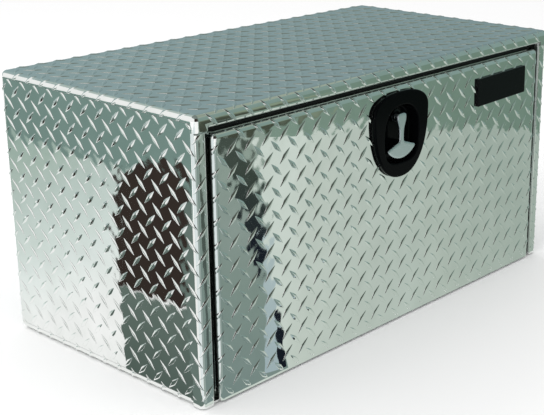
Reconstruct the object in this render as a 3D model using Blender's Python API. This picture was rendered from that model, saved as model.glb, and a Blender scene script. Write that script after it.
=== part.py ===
"""Underbody truck tool box with a drop-down door and a folding T-handle latch.

Folded tread-plate box: the door's front faces -Y, the width runs along X and the
box stands on Z = 0. All sizes are in metres.
"""
import math

import bmesh
import bpy
from mathutils import Matrix, Vector

# Box
WIDTH = 0.914
DEPTH = 0.475
HEIGHT = 0.457
SHEET = 0.0032
OUTER_BEND = 0.009
INNER_BEND = 0.0045
TIGHT_BEND = 0.0015
CORNER_RADIUS = 0.0095
SEAM = 0.0003
SKIRT = 0.012
BACK_RETURN = 0.021
STILE_SETBACK = 0.0035
STILE_WIDTH = 0.025
HEADER_DROP = 0.022
HEADER_LAP = 0.026
FRAME_DEPTH = 0.0255
JAMB_WIDTH = 0.018
SILL_FOOT = 0.024
WELD_RADIUS = 0.0013
WELD_LENGTH = 0.015
WELD_WRAP = math.radians(42)
WELD_SIDES = 12

# Seal
SEAL_WIDTH = 0.009
SEAL_THICKNESS = 0.003
SEAL_BOTTOM = 0.0065
SEAL_OUTSET = 0.004
SEAL_CORNER = 0.008

# Door
DOOR_SIDE_GAP = 0.0095
DOOR_TOP_GAP = 0.010
DOOR_BOTTOM = 0.003
DOOR_BEND = 0.008
DOOR_CORNER = 0.0085
DOOR_WALL = 0.0168
LINER_SHEET = 0.0016
LINER_FOOT = 0.006
LINER_FOOT_LIP = 0.0048
LINER_BEND = 0.003
LINER_INSET = 0.0015

# Hinge
HINGE_END = 0.0095
HINGE_PIN_RADIUS = 0.0010
LEAF_SHEET = 0.0009
CURL_RADIUS = 0.0017
KNUCKLES = 14
KNUCKLE_GAP = 0.0004
DOOR_LEAF_TOP = 0.030
BODY_LEAF_BACK = 0.0215
LEAF_SEAT = 0.0004
CURL_CLEARANCE = 0.0005
CURL_TURN = math.radians(300)
FLOOR_FRONT = 0.0088

# Latch dish
DISH_DROP = 0.0835
DISH_WIDTH = 0.144
DISH_HEIGHT = 0.149
DISH_WIDEST = 0.038
DISH_POWERS = (2.4, 2.25)
DISH_PROUD = 0.008
DISH_SHEET = 0.0022
DISH_RIM_BEND = 0.003
DISH_FLOOR = 0.012
RECESS_WIDTH = 0.091
RECESS_TOP = 0.051
RECESS_BOTTOM = 0.0495
RECESS_POWERS = (2.4, 3.2)
RECESS_DRAFT = 0.003
RECESS_BEND = 0.003
RECESS_LIP = 0.002
CUTOUT_MARGIN = 0.0034
GASKET_SHEET = 0.001
GASKET_WIDTH = 0.008

# T-handle and latch
HUB_RISE = 0.0305
PIVOT_DEPTH = -0.001
HANDLE_FACE = -0.0078
HANDLE_THICKNESS = 0.005
HANDLE_EDGE = 0.0011
HANDLE_TOP = 0.0062
HANDLE_TOP_HALF = 0.0112
HANDLE_WAIST_HALF = 0.0056
HANDLE_WAIST_UPPER = -0.022
HANDLE_WAIST_LOWER = -0.040
HANDLE_BAR_HALF = 0.0364
HANDLE_SHOULDER = -0.044
HANDLE_BAR_END = -0.0555
HANDLE_BOTTOM = -0.0725
HANDLE_END_RADIUS = 0.0032
HANDLE_CROWN_SHARES = (0.6, 0.97)
HANDLE_CORNER_SHARE = 0.55
HANDLE_WAIST_SHARES = (1.08, 1.5)
HANDLE_END_ANGLES = (math.radians(75), math.radians(-65))
CHEEK_RADIUS = 0.006
CHEEK_INNER = 0.0054
CHEEK_OUTER = 0.011
TONGUE_RADIUS = 0.0045
TONGUE_HALF = 0.005
WEB_BACK = -0.0059
PIN_RADIUS = 0.002
RUNNING_CLEARANCE = 0.00005
BOSS_RADIUS = 0.012
BOSS_FACE = 0.0056
SHAFT_RADIUS = 0.005
SHAFT_END = 0.036
SHAFT_CLEARANCE = 0.0001
LINER_HOLE_RADIUS = 0.0095
CAM_FRONT = 0.0260
CAM_SHEET = 0.003
CAM_TIP_GAP = 0.011
CAM_HUB_RADIUS = 0.011
CAM_TIP_RADIUS = 0.008
CAM_FLARE = math.radians(9)
NUT_RADIUS = 0.0095
NUT_THICKNESS = 0.005
BUSH_RADIUS = 0.0085

# Bare plate on the door
PLATE_FROM_EDGE = 0.1235
PLATE_DROP = 0.051
PLATE_WIDTH = 0.152
PLATE_HEIGHT = 0.051
PLATE_PROUD = 0.005
PLATE_CORNER = 0.002
PLATE_EDGE = 0.0008
PLATE_TILT = math.radians(1.0)

# How far cutters run past what they cut, and how far joined solids overlap
OVERRUN = 0.010
OVERLAP = 0.002

BEND_STEPS = 5
DISH_BEND_STEPS = 4
ROUND_STEPS = 32
OUTLINE_STEPS = 56

FRONT = (DISH_PROUD - DEPTH) / 2
STILE_INNER = WIDTH / 2 - STILE_WIDTH
DOOR_WIDTH = 2 * (STILE_INNER - DOOR_SIDE_GAP)
HEADER_UNDERSIDE = HEIGHT - HEADER_DROP
DOOR_TOP = HEADER_UNDERSIDE - DOOR_TOP_GAP
HINGE_LENGTH = DOOR_WIDTH - 2 * HINGE_END
DISH_CENTRE_Z = DOOR_TOP - DISH_DROP
HUB_Z = DISH_CENTRE_Z + HUB_RISE
CAM_REACH = HEADER_UNDERSIDE - CAM_TIP_GAP - HUB_Z
PLATE_X = DOOR_WIDTH / 2 - PLATE_FROM_EDGE
PLATE_Z = DOOR_TOP - PLATE_DROP
JAMB_FACE = FRAME_DEPTH - SHEET
CURL_OUTER = CURL_RADIUS + LEAF_SHEET / 2
HINGE_DEPTH = SHEET + SEAM + LEAF_SHEET / 2 + CURL_RADIUS
HINGE_Z = SHEET + LEAF_SEAT + LEAF_SHEET / 2 - CURL_RADIUS


# Helpers
def material(name, colour, roughness, metallic):
    made = bpy.data.materials.new(name)
    made.use_nodes = True
    shader = made.node_tree.nodes["Principled BSDF"]
    shader.inputs["Base Color"].default_value = (*colour, 1)
    shader.inputs["Roughness"].default_value = roughness
    shader.inputs["Metallic"].default_value = metallic
    return made


def solid(name, points, faces, finish=None, smooth=False):
    mesh = bpy.data.meshes.new(name)
    mesh.from_pydata([tuple(point) for point in points], [], faces)
    work = bmesh.new()
    work.from_mesh(mesh)
    bmesh.ops.recalc_face_normals(work, faces=work.faces)
    work.to_mesh(mesh)
    work.free()
    if smooth:
        mesh.polygons.foreach_set("use_smooth", [True] * len(mesh.polygons))
    made = bpy.data.objects.new(name, mesh)
    bpy.context.scene.collection.objects.link(made)
    if finish:
        mesh.materials.append(finish)
    return made


def skin(name, loops, finish=None, ring=False, smooth=False):
    """Joins loops of equally many points, capped at both ends or closed in a ring."""
    count = len(loops[0])
    points = [point for loop in loops for point in loop]
    faces = []
    for row in range(len(loops) if ring else len(loops) - 1):
        here, there = row * count, (row + 1) % len(loops) * count
        for i in range(count):
            j = (i + 1) % count
            faces.append((here + i, here + j, there + j, there + i))
    if not ring:
        faces.append(tuple(range(count))[::-1])
        faces.append(tuple(range((len(loops) - 1) * count, len(loops) * count)))
    return solid(name, points, faces, finish, smooth)


def prism(name, outline, low, high, along, finish=None, smooth=False):
    """Extrudes a flat outline along X, Y or Z.

    The outline is in (depth, z) for X, in (x, z) for Y and in (x, depth) for Z.
    """
    place = {
        "X": lambda a, b, c: (c, FRONT + a, b),
        "Y": lambda a, b, c: (a, FRONT + c, b),
        "Z": lambda a, b, c: (a, FRONT + b, c),
    }[along]
    loops = [[place(a, b, level) for a, b in outline] for level in (low, high)]
    return skin(name, loops, finish, smooth=smooth)


def box(name, x, depth, z, finish=None):
    outline = [(x[0], depth[0]), (x[1], depth[0]), (x[1], depth[1]), (x[0], depth[1])]
    return prism(name, outline, z[0], z[1], "Z", finish)


def arc(centre, radius, start, end, steps):
    return [
        (centre[0] + radius * math.cos(start + (end - start) * i / steps),
         centre[1] + radius * math.sin(start + (end - start) * i / steps))
        for i in range(steps + 1)
    ]


def circle(centre, radius, steps=ROUND_STEPS):
    return arc(centre, radius, 0, math.tau, steps)[:-1]


def thicken(line, thickness):
    """Outline of a sheet whose face is the line and whose body lies to its left."""
    back = []
    for i, here in enumerate(line):
        before = Vector(line[max(i - 1, 0)])
        after = Vector(line[min(i + 1, len(line) - 1)])
        incoming = (Vector(here) - before).normalized() if i else None
        outgoing = (after - Vector(here)).normalized() if i < len(line) - 1 else None
        incoming = incoming or outgoing
        outgoing = outgoing or incoming
        middle = (incoming + outgoing).normalized()
        reach = thickness / max(middle.dot(incoming), 0.5)
        back.append((here[0] - middle.y * reach, here[1] + middle.x * reach))
    return list(line) + back[::-1]


def fold(corners, radii, thickness):
    """Outline of a sheet folded along corners; the radii are those of its face line."""
    line = [corners[0]]
    for i, radius in enumerate(radii, start=1):
        here = Vector(corners[i])
        incoming = (here - Vector(corners[i - 1])).normalized()
        outgoing = (Vector(corners[i + 1]) - here).normalized()
        turn = incoming.angle_signed(outgoing)
        side = -1 if turn > 0 else 1
        trim = radius * math.tan(abs(turn) / 2)
        normal = Vector((-incoming.y, incoming.x)) * side
        centre = here - incoming * trim + normal * radius
        start = math.atan2(-normal.y, -normal.x)
        line += arc(centre, radius, start, start - turn, BEND_STEPS)
    line.append(corners[-1])
    return thicken(line, thickness)


def rounded_rectangle(x, y, radius, steps=BEND_STEPS):
    """Corner-rounded rectangle in a plane, from the two ranges x and y."""
    corners = [
        (x[1] - radius, y[1] - radius, 0),
        (x[0] + radius, y[1] - radius, 1),
        (x[0] + radius, y[0] + radius, 2),
        (x[1] - radius, y[0] + radius, 3),
    ]
    points = []
    for cx, cy, quarter in corners:
        start = quarter * math.pi / 2
        points += arc((cx, cy), radius, start, start + math.pi / 2, steps)
    return points


def shrink(bounds, amount):
    return (bounds[0] + amount, bounds[1] - amount)


def boolean(target, tool, operation):
    step = target.modifiers.new(operation.lower(), "BOOLEAN")
    step.operation = operation
    step.solver = "EXACT"
    step.object = tool
    tool.hide_render = True
    tool.display_type = "WIRE"


def cut(target, tool):
    boolean(target, tool, "DIFFERENCE")


def join(target, tool):
    boolean(target, tool, "UNION")


def axis_empty(name, place, parent=None):
    made = bpy.data.objects.new(name, None)
    bpy.context.scene.collection.objects.link(made)
    made["place"] = place
    if parent:
        made.parent = parent
        made.location = Vector(place) - Vector(parent["place"])
    else:
        made.location = place
    return made


def attach(made, axis):
    """Hangs an object on a joint's empty, keeping it where it is."""
    made.data.transform(Matrix.Translation(-Vector(axis["place"])))
    made.parent = axis
    return made


for old in list(bpy.data.objects):
    bpy.data.objects.remove(old, do_unlink=True)

# Materials and joint axes
aluminium = material("tread_aluminium", (0.62, 0.65, 0.65), 0.22, 1.0)
inner_aluminium = material("plain_aluminium", (0.58, 0.60, 0.60), 0.35, 1.0)
weld_metal = material("weld_metal", (0.72, 0.72, 0.70), 0.30, 1.0)
steel = material("zinc_steel", (0.55, 0.55, 0.54), 0.35, 1.0)
handle_metal = material("satin_handle", (0.66, 0.66, 0.65), 0.28, 1.0)
rubber = material("black_rubber", (0.015, 0.015, 0.015), 0.75, 0.0)
dish_black = material("gloss_black", (0.010, 0.010, 0.012), 0.18, 0.0)
plate_black = material("plate_black", (0.012, 0.012, 0.013), 0.30, 0.0)

door_axis = axis_empty("door_axis", (0, FRONT + HINGE_DEPTH, HINGE_Z))
turn_axis = axis_empty("turn_axis", (0, FRONT + PIVOT_DEPTH, HUB_Z), door_axis)
fold_axis = axis_empty("fold_axis", (0, FRONT + PIVOT_DEPTH, HUB_Z), turn_axis)


# Box shell
def tray(name, top_side):
    """Rounded sheet with a skirt, the top panel or the floor panel of the box."""
    skirt = HEADER_LAP if top_side else SKIRT
    across = (-WIDTH / 2, WIDTH / 2)
    deep = (FRONT, FRONT + DEPTH)

    def loop(inset, drop):
        height = HEIGHT - drop if top_side else drop
        outline = rounded_rectangle(shrink(across, inset), shrink(deep, inset), CORNER_RADIUS - inset)
        return [(x, y, height) for x, y in outline]

    def surface(offset):
        bend = OUTER_BEND - offset
        rows = [loop(offset, skirt)]
        for i in range(BEND_STEPS + 1):
            angle = i / BEND_STEPS * math.pi / 2
            rows.append(loop(offset + bend * (1 - math.cos(angle)), OUTER_BEND - bend * math.sin(angle)))
        return rows

    return skin(name, surface(SHEET)[::-1] + surface(0), aluminium)


top_panel = tray("top_panel", True)
cut(top_panel, box(
    "top_skirt_cutter",
    (-WIDTH / 2 - OVERRUN, WIDTH / 2 + OVERRUN),
    (OUTER_BEND, DEPTH + OVERRUN),
    (HEIGHT - HEADER_LAP - OVERRUN, HEIGHT - SKIRT),
))
cut(top_panel, box(
    "header_cutter",
    (-STILE_INNER + SEAM, STILE_INNER - SEAM),
    (-OVERRUN, OUTER_BEND + OVERLAP),
    (HEIGHT - HEADER_LAP - OVERRUN, HEADER_UNDERSIDE + INNER_BEND),
))
header_fold = fold(
    [(0, HEIGHT - SKIRT), (0, HEADER_UNDERSIDE), (JAMB_FACE, HEADER_UNDERSIDE),
     (JAMB_FACE, HEADER_UNDERSIDE - JAMB_WIDTH)],
    [INNER_BEND, TIGHT_BEND],
    SHEET,
)
header_return = prism("header_return", header_fold, -STILE_INNER + SEAM, STILE_INNER - SEAM, "X")
jamb_end = STILE_INNER - JAMB_WIDTH - SEAM
for side, name in ((-1, "left_header_notch"), (1, "right_header_notch")):
    across = sorted((side * jamb_end, side * (STILE_INNER + OVERRUN)))
    cut(header_return, box(
        name,
        across,
        (JAMB_FACE - OVERLAP, FRAME_DEPTH + OVERRUN),
        (HEADER_UNDERSIDE - JAMB_WIDTH - OVERRUN, HEADER_UNDERSIDE + SHEET + OVERRUN),
    ))
join(top_panel, header_return)

floor_panel = tray("floor_panel", False)
cut(floor_panel, box(
    "floor_front_cutter",
    (-WIDTH / 2 - OVERRUN, WIDTH / 2 + OVERRUN),
    (-OVERRUN, FLOOR_FRONT),
    (-OVERRUN, SKIRT + OVERRUN),
))
for side, hand in ((-1, "left"), (1, "right")):
    cut(floor_panel, box(
        hand + "_stile_notch",
        sorted((side * (STILE_INNER - SEAM), side * (WIDTH / 2 + OVERRUN))),
        (-OVERRUN, FRAME_DEPTH + SEAM),
        (-OVERRUN, SKIRT + OVERRUN),
    ))
    cut(floor_panel, box(
        hand + "_jamb_slot",
        sorted((side * jamb_end, side * (STILE_INNER + OVERLAP))),
        (JAMB_FACE - TIGHT_BEND - SEAM, FRAME_DEPTH + SEAM),
        (-OVERRUN, SKIRT + OVERRUN),
    ))


def side_panel(name, side):
    """Side sheet folded round the back corner and, in front, into stile and jamb."""
    edge = side * WIDTH / 2
    stile = side * STILE_INNER
    outline = fold(
        [(-WIDTH / 2 + BACK_RETURN, DEPTH), (-WIDTH / 2, DEPTH), (-WIDTH / 2, STILE_SETBACK),
         (-STILE_INNER, STILE_SETBACK), (-STILE_INNER, JAMB_FACE),
         (-STILE_INNER + JAMB_WIDTH, JAMB_FACE)],
        [OUTER_BEND, OUTER_BEND, INNER_BEND, TIGHT_BEND],
        SHEET,
    )
    outline = [(-side * x, depth) for x, depth in outline][::side]
    panel = prism(name, outline, 0, HEIGHT - SKIRT - SEAM, "Z", aluminium)
    cut(panel, box(
        name + "_foot_cutter",
        sorted((edge + side * OVERRUN, stile - side * JAMB_WIDTH - side * OVERRUN)),
        (FRAME_DEPTH, DEPTH + OVERRUN),
        (-OVERRUN, SKIRT + SEAM),
    ))
    cut(panel, box(
        name + "_corner_cutter",
        sorted((edge + side * OVERRUN, edge - side * CORNER_RADIUS)),
        (-OVERRUN, OUTER_BEND + SEAM),
        (HEIGHT - HEADER_LAP - SEAM, HEIGHT + OVERRUN),
    ))
    return panel


side_panel("left_side", -1)
side_panel("right_side", 1)

box(
    "back_panel",
    (-WIDTH / 2 + BACK_RETURN + SEAM, WIDTH / 2 - BACK_RETURN - SEAM),
    (DEPTH - SHEET, DEPTH),
    (SKIRT + SEAM, HEIGHT - SKIRT - SEAM),
    aluminium,
)

sill_base = SHEET + SEAM
sill_fold = fold(
    [(JAMB_FACE, sill_base + JAMB_WIDTH), (JAMB_FACE, sill_base), (JAMB_FACE + SILL_FOOT, sill_base)],
    [INNER_BEND],
    SHEET,
)
prism("sill_flange", sill_fold, -jamb_end, jamb_end, "X", inner_aluminium)


def weld_bead(name, side):
    """Fillet bead under the header lap that curls a little way round the corner."""
    depth = STILE_SETBACK - SEAM - WELD_RADIUS
    height = HEIGHT - HEADER_LAP - SEAM - WELD_RADIUS
    round_radius = OUTER_BEND + SEAM + WELD_RADIUS
    centre = (WIDTH / 2 - OUTER_BEND, STILE_SETBACK + OUTER_BEND)
    start = WIDTH / 2 - OUTER_BEND - WELD_LENGTH
    path = [(start, depth)]
    path += arc(centre, round_radius, -math.pi / 2, -math.pi / 2 + WELD_WRAP, 2 * BEND_STEPS)
    loops = []
    for i, (x, away) in enumerate(path):
        angle = 0 if i == 0 else (i - 1) / (2 * BEND_STEPS) * WELD_WRAP
        outward = Vector((math.sin(angle), -math.cos(angle)))
        loops.append([
            (side * (x + outward.x * WELD_RADIUS * math.cos(turn)),
             FRONT + away + outward.y * WELD_RADIUS * math.cos(turn),
             height + WELD_RADIUS * math.sin(turn))
            for turn in (j / WELD_SIDES * math.tau for j in range(WELD_SIDES))
        ])
    return skin(name, loops[::side], weld_metal, smooth=True)


weld_bead("left_weld", -1)
weld_bead("right_weld", 1)

seal_outer_x = DOOR_WIDTH / 2 + SEAL_OUTSET
seal_outer_z = (SEAL_BOTTOM, DOOR_TOP + SEAL_OUTSET)
seal_back = JAMB_FACE - SEAM
seal_loops = []
for inset, depth in (
    (0, seal_back), (0, seal_back - SEAL_THICKNESS / 2), (SEAL_WIDTH / 4, seal_back - SEAL_THICKNESS),
    (SEAL_WIDTH * 3 / 4, seal_back - SEAL_THICKNESS), (SEAL_WIDTH, seal_back - SEAL_THICKNESS / 2),
    (SEAL_WIDTH, seal_back),
):
    outline = rounded_rectangle(
        shrink((-seal_outer_x, seal_outer_x), inset),
        shrink(seal_outer_z, inset),
        SEAL_CORNER + SEAL_WIDTH - inset,
    )
    seal_loops.append([(x, FRONT + depth, z) for x, z in outline])
skin("door_seal", seal_loops, rubber, ring=True)


# Hinge
def knuckle_cutters(name, first, depth, z):
    """One comb of boxes that clears every second knuckle, starting with the first."""
    pitch = HINGE_LENGTH / KNUCKLES
    points, faces = [], []
    for i in range(first, KNUCKLES, 2):
        low = -HINGE_LENGTH / 2 + i * pitch - KNUCKLE_GAP / 2
        high = low + pitch + KNUCKLE_GAP
        low -= OVERRUN if i == 0 else 0
        high += OVERRUN if i == KNUCKLES - 1 else 0
        base = len(points)
        points += [(x, FRONT + d, h) for x in (low, high) for d, h in
                   ((depth[0], z[0]), (depth[1], z[0]), (depth[1], z[1]), (depth[0], z[1]))]
        faces += [(base + a, base + b, base + c, base + d) for a, b, c, d in
                  ((0, 1, 2, 3), (7, 6, 5, 4), (0, 4, 5, 1), (1, 5, 6, 2), (2, 6, 7, 3), (3, 7, 4, 0))]
    return solid(name, points, faces)


curl_steps = 4 * BEND_STEPS
curl_centre = (HINGE_DEPTH, HINGE_Z)
reach = CURL_OUTER + CURL_CLEARANCE
face_radius = CURL_RADIUS + LEAF_SHEET / 2

# Body leaf: lies on the floor and curls forward and down round the pin
body_line = [(BODY_LEAF_BACK, HINGE_Z + face_radius)]
body_line += arc(curl_centre, face_radius, math.pi / 2, math.pi / 2 + CURL_TURN, curl_steps)
body_leaf = prism("hinge_body_leaf", thicken(body_line, LEAF_SHEET), -HINGE_LENGTH / 2, HINGE_LENGTH / 2,
                  "X", steel)
cut(body_leaf, knuckle_cutters(
    "body_leaf_comb", 0,
    (HINGE_DEPTH - reach - OVERLAP, HINGE_DEPTH + reach),
    (HINGE_Z - reach - OVERLAP, HINGE_Z + reach + OVERLAP),
))

# Door leaf: stands behind the door's face and curls down and back round the pin
door_line = [(HINGE_DEPTH - face_radius, DOOR_LEAF_TOP)]
door_line += arc(curl_centre, face_radius, math.pi, math.pi + CURL_TURN, curl_steps)
door_leaf = prism("hinge_door_leaf", thicken(door_line, LEAF_SHEET), -HINGE_LENGTH / 2, HINGE_LENGTH / 2,
                  "X", steel)
cut(door_leaf, knuckle_cutters(
    "door_leaf_comb", 1,
    (HINGE_DEPTH - reach - OVERLAP, HINGE_DEPTH + reach + OVERLAP),
    (HINGE_Z - reach - OVERLAP, HINGE_Z + reach),
))
attach(door_leaf, door_axis)

attach(
    prism("hinge_pin", circle(curl_centre, HINGE_PIN_RADIUS, ROUND_STEPS // 2), -HINGE_LENGTH / 2, HINGE_LENGTH / 2,
          "X", steel, smooth=True),
    door_axis,
)


# Outlines of the latch dish
def egg(half_width, top, bottom, widest, powers, grow):
    """Closed egg outline about (0, 0): two superellipse halves that meet at z = widest."""
    half_width, top, bottom = half_width + grow, top + grow, bottom + grow
    points = []
    for i in range(OUTLINE_STEPS):
        angle = i / OUTLINE_STEPS * math.tau
        power = powers[0] if angle < math.pi else powers[1]
        rise = (top - widest) if angle < math.pi else (bottom + widest)
        c, s = math.cos(angle), math.sin(angle)
        x = math.copysign(abs(c) ** (2 / power), c) * half_width
        z = widest + math.copysign(abs(s) ** (2 / power), s) * rise
        points.append((x, DISH_CENTRE_Z + z))
    return points


def dish_outline(grow):
    return egg(DISH_WIDTH / 2, DISH_HEIGHT / 2, DISH_HEIGHT / 2, DISH_WIDEST, DISH_POWERS, grow)


def recess_outline(grow):
    return egg(RECESS_WIDTH / 2, RECESS_TOP, RECESS_BOTTOM, 0, RECESS_POWERS, grow)


# Door
def door_loops(offset):
    bend = DOOR_BEND - offset
    rows = []
    for i in range(-1, BEND_STEPS + 1):
        angle = max(i, 0) / BEND_STEPS * math.pi / 2
        inset = offset + bend * (1 - math.cos(angle))
        depth = DOOR_WALL if i < 0 else DOOR_BEND - bend * math.sin(angle)
        outline = rounded_rectangle(
            shrink((-DOOR_WIDTH / 2, DOOR_WIDTH / 2), inset),
            (DOOR_BOTTOM - 2 * OVERRUN + inset, DOOR_TOP - inset),
            DOOR_CORNER - inset,
        )
        rows.append([(x, FRONT + depth, z) for x, z in outline])
    return rows


door_pan = skin("door_pan", door_loops(SHEET)[::-1] + door_loops(0), aluminium)
cut(door_pan, box(
    "door_foot_cutter",
    (-DOOR_WIDTH / 2 - OVERRUN, DOOR_WIDTH / 2 + OVERRUN),
    (-OVERRUN, DOOR_WALL + OVERRUN),
    (DOOR_BOTTOM - 3 * OVERRUN, DOOR_BOTTOM),
))
cut(door_pan, box(
    "door_wall_cutter",
    (-DOOR_WIDTH / 2 - OVERRUN, DOOR_WIDTH / 2 + OVERRUN),
    (SHEET + SEAM, DOOR_WALL + OVERRUN),
    (DOOR_BOTTOM - 3 * OVERRUN, LINER_FOOT),
))
cut(door_pan, prism("dish_cutout", recess_outline(CUTOUT_MARGIN), -OVERRUN, SHEET + OVERRUN, "Y"))
attach(door_pan, door_axis)

liner_back = DOOR_WALL + SEAM + LINER_SHEET
liner_fold = fold(
    [(LINER_FOOT_LIP, LINER_FOOT), (liner_back, LINER_FOOT), (liner_back, DOOR_TOP - LINER_INSET)],
    [LINER_BEND],
    LINER_SHEET,
)
liner_half = DOOR_WIDTH / 2 - LINER_INSET
door_liner = prism("door_liner", liner_fold, -liner_half, liner_half, "X", inner_aluminium)
for side, name in ((-1, "left_liner_notch"), (1, "right_liner_notch")):
    cut(door_liner, box(
        name,
        sorted((side * (DOOR_WIDTH / 2 - DOOR_BEND), side * (DOOR_WIDTH / 2 + OVERRUN))),
        (-OVERRUN, DOOR_WALL + SEAM),
        (-OVERRUN, LINER_FOOT + OVERRUN),
    ))
cut(door_liner, prism("liner_hole", circle((0, HUB_Z), LINER_HOLE_RADIUS), DOOR_WALL - OVERRUN,
                      liner_back + OVERRUN, "Y"))
attach(door_liner, door_axis)

plate_loops = []
for inset, proud in ((0, SEAM), (0, PLATE_PROUD - PLATE_EDGE), (PLATE_EDGE, PLATE_PROUD)):
    outline = rounded_rectangle(
        shrink((-PLATE_WIDTH / 2, PLATE_WIDTH / 2), inset),
        shrink((-PLATE_HEIGHT / 2, PLATE_HEIGHT / 2), inset),
        PLATE_CORNER - inset,
    )
    plate_loops.append([
        (PLATE_X + x * math.cos(PLATE_TILT) - z * math.sin(PLATE_TILT),
         FRONT - proud,
         PLATE_Z + x * math.sin(PLATE_TILT) + z * math.cos(PLATE_TILT))
        for x, z in outline
    ])
attach(skin("bare_plate", plate_loops, plate_black), door_axis)

# Latch dish, gasket and bush
hole = [(x, z) for x, z in circle((0, HUB_Z), SHAFT_RADIUS + SHAFT_CLEARANCE, OUTLINE_STEPS)]
rim_foot = -(2 * SEAM + GASKET_SHEET)


def row(outline, depth):
    return [(x, FRONT + depth, z) for x, z in outline]


def dish_surface(inward):
    """Rows of the dish from its rim foot to the shaft hole, on the front or the back face."""
    t = DISH_SHEET if inward else 0
    bend = DISH_RIM_BEND - t
    lip = RECESS_LIP + t
    deep = RECESS_BEND + t
    face = -DISH_PROUD + t
    rows = [row(dish_outline(-t), rim_foot)]
    quarter = [i / DISH_BEND_STEPS * math.pi / 2 for i in range(DISH_BEND_STEPS + 1)]
    for angle in quarter:
        rows.append(row(dish_outline(-t - bend * (1 - math.cos(angle))), face + bend * (1 - math.sin(angle))))
    for angle in quarter:
        rows.append(row(recess_outline(t + lip * (1 - math.sin(angle))), face + lip * (1 - math.cos(angle))))
    floor = DISH_FLOOR + t
    for angle in quarter:
        grow = t - RECESS_DRAFT - deep * (1 - math.cos(angle))
        rows.append(row(recess_outline(grow), floor - deep * (1 - math.sin(angle))))
    rows.append(row(hole, floor))
    return rows


latch_dish = skin("latch_dish", dish_surface(False) + dish_surface(True)[::-1], dish_black, ring=True)
attach(latch_dish, door_axis)

gasket_rows = []
for grow, depth in ((-SEAM, -SEAM), (-SEAM, -SEAM - GASKET_SHEET), (-GASKET_WIDTH, -SEAM - GASKET_SHEET),
                    (-GASKET_WIDTH, -SEAM)):
    gasket_rows.append(row(dish_outline(grow), depth))
attach(skin("dish_gasket", gasket_rows, rubber, ring=True), door_axis)

bush_front = liner_back + SEAM
bush_back = CAM_FRONT - SEAM
bush = prism("latch_bush", circle((0, HUB_Z), BUSH_RADIUS), bush_front, bush_back, "Y", steel)
cut(bush, prism("bush_bore", circle((0, HUB_Z), SHAFT_RADIUS + SHAFT_CLEARANCE), bush_front - OVERRUN,
                bush_back + OVERRUN, "Y"))
attach(bush, door_axis)

# Latch shaft, pin, cam and nut
shaft_rows = []
for radius, depth in (
    (BOSS_RADIUS - OVERLAP / 2, BOSS_FACE), (BOSS_RADIUS, BOSS_FACE + OVERLAP / 2),
    (BOSS_RADIUS, DISH_FLOOR - SEAM), (SHAFT_RADIUS, DISH_FLOOR - SEAM), (SHAFT_RADIUS, SHAFT_END),
):
    shaft_rows.append(row(circle((0, HUB_Z), radius), depth))
latch_shaft = skin("latch_shaft", shaft_rows, steel)
tongue_outline = arc((PIVOT_DEPTH, HUB_Z), TONGUE_RADIUS, math.pi / 2, math.pi * 3 / 2, 2 * BEND_STEPS)
tongue_outline += [(BOSS_FACE + OVERLAP, HUB_Z - TONGUE_RADIUS), (BOSS_FACE + OVERLAP, HUB_Z + TONGUE_RADIUS)]
join(latch_shaft, prism("tongue", tongue_outline, -TONGUE_HALF, TONGUE_HALF, "X"))
pin_bore = circle((PIVOT_DEPTH, HUB_Z), PIN_RADIUS + RUNNING_CLEARANCE)
cut(latch_shaft, prism("tongue_bore", pin_bore, -CHEEK_OUTER - OVERRUN, CHEEK_OUTER + OVERRUN, "X"))
attach(latch_shaft, turn_axis)

attach(
    prism("pivot_pin", circle((PIVOT_DEPTH, HUB_Z), PIN_RADIUS), -CHEEK_OUTER, CHEEK_OUTER, "X", steel,
          smooth=True),
    turn_axis,
)

cam_outline = arc((0, HUB_Z), CAM_HUB_RADIUS, math.pi - CAM_FLARE, math.tau + CAM_FLARE, ROUND_STEPS // 2)
cam_outline += arc((0, HUB_Z + CAM_REACH - CAM_TIP_RADIUS), CAM_TIP_RADIUS, 0, math.pi, 2 * BEND_STEPS)
latch_cam = prism("latch_cam", cam_outline, CAM_FRONT, CAM_FRONT + CAM_SHEET, "Y", steel)
cut(latch_cam, prism("cam_bore", circle((0, HUB_Z), SHAFT_RADIUS + RUNNING_CLEARANCE),
                     CAM_FRONT - OVERRUN, CAM_FRONT + CAM_SHEET + OVERRUN, "Y"))
attach(latch_cam, turn_axis)

nut_front = CAM_FRONT + CAM_SHEET + SEAM
latch_nut = prism("latch_nut", circle((0, HUB_Z), NUT_RADIUS, 6), nut_front, nut_front + NUT_THICKNESS,
                  "Y", steel)
cut(latch_nut, prism("nut_bore", circle((0, HUB_Z), SHAFT_RADIUS + RUNNING_CLEARANCE),
                     nut_front - OVERRUN, nut_front + NUT_THICKNESS + OVERRUN, "Y"))
attach(latch_nut, turn_axis)


# T-handle
def spline(points, steps):
    """Smooth open curve through points (Catmull-Rom)."""
    guides = [points[0]] + list(points) + [points[-1]]
    line = []
    for i in range(1, len(guides) - 2):
        a, b, c, d = (Vector(guides[i + k]) for k in (-1, 0, 1, 2))
        for j in range(steps):
            t = j / steps
            line.append(tuple(
                0.5 * (2 * b + (c - a) * t + (2 * a - 5 * b + 4 * c - d) * t * t
                       + (3 * b - a - 3 * c + d) * t ** 3)
            ))
    line.append(tuple(points[-1]))
    return line


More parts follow.
